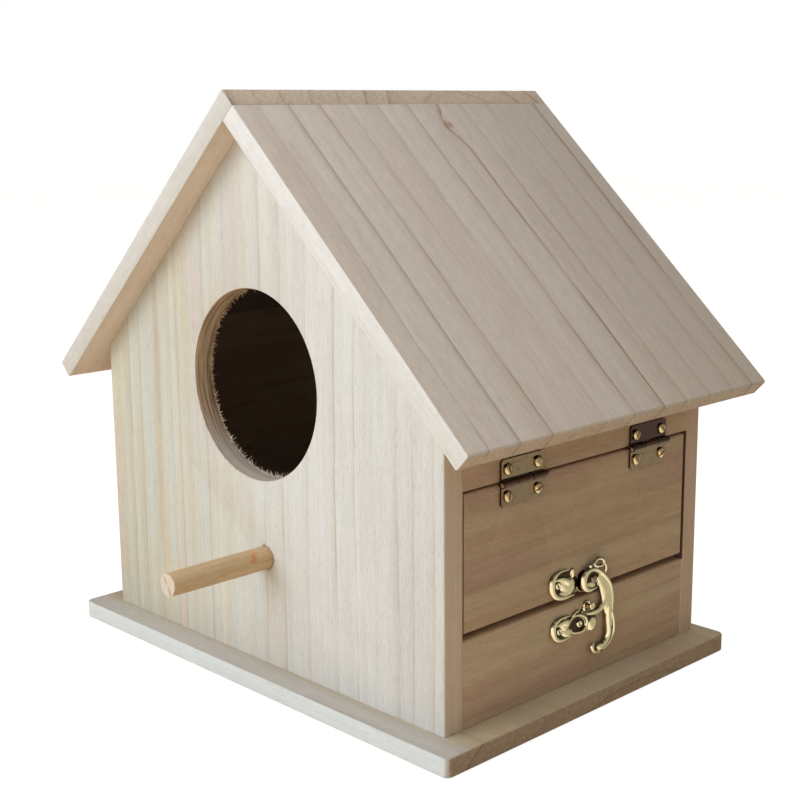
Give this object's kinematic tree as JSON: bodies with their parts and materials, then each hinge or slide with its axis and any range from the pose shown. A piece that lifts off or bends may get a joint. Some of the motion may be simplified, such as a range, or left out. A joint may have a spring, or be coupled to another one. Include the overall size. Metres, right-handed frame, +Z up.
{
  "type": "birdhouse",
  "caption": "Small gabled wooden birdhouse with a round entrance, a dowel perch, and a flap door in its side on brass hinges, closed by an ornate brass swing latch.",
  "frame": {"origin": "middle of the base board's underside", "axes": "+Z up, +X to the right side with the flap door as seen from the front, -Y to the front with the round entrance"},
  "size_m": [0.2105, 0.1804, 0.1985],
  "materials": {
    "front_wood": "unfinished, fine sanded",
    "side_wood": "unfinished, fine sanded",
    "roof_wood": "unfinished, fine sanded",
    "base_wood": "unfinished, fine sanded",
    "perch_wood": "unfinished dowel",
    "hinge_brass": "brass plated, darkened in the recesses",
    "latch_brass": "polished brass plate"
  },
  "bodies": {
    "house": {"base_board": "base_wood", "front_panel": "front_wood", "back_panel": "front_wood", "left_wall": "side_wood", "top_rail": "side_wood", "bottom_rail": "side_wood", "roof_left": "roof_wood", "roof_right": "roof_wood", "perch": "perch_wood", "front_hinge_fixed_leaf": "hinge_brass", "back_hinge_fixed_leaf": "hinge_brass", "front_hinge_pin": "hinge_brass", "back_hinge_pin": "hinge_brass", "hinge_rail_screws": "hinge_brass", "catch_plate": "latch_brass", "catch_plate_nails": "latch_brass", "catch_stud": "latch_brass"},
    "door": {"flap_door": "side_wood", "front_hinge_door_leaf": "hinge_brass", "back_hinge_door_leaf": "hinge_brass", "hinge_door_screws": "hinge_brass", "latch_plate": "latch_brass", "latch_plate_nail": "latch_brass", "latch_rivet": "latch_brass"},
    "latch_arm": {"latch_arm": "latch_brass"}
  },
  "joints": [
    {"name": "door_hinge", "type": "hinge", "parent": "house", "child": "door", "pos_m": [0.08835, 0.0022, 0.081], "axis": [0, -1, 0], "range_deg": [0, 125]},
    {"name": "latch_swing", "type": "hinge", "parent": "door", "child": "latch_arm", "pos_m": [0.0886, 0.007, 0.0404], "axis": [1, 0, 0], "range_deg": [0, 150]}
  ]
}
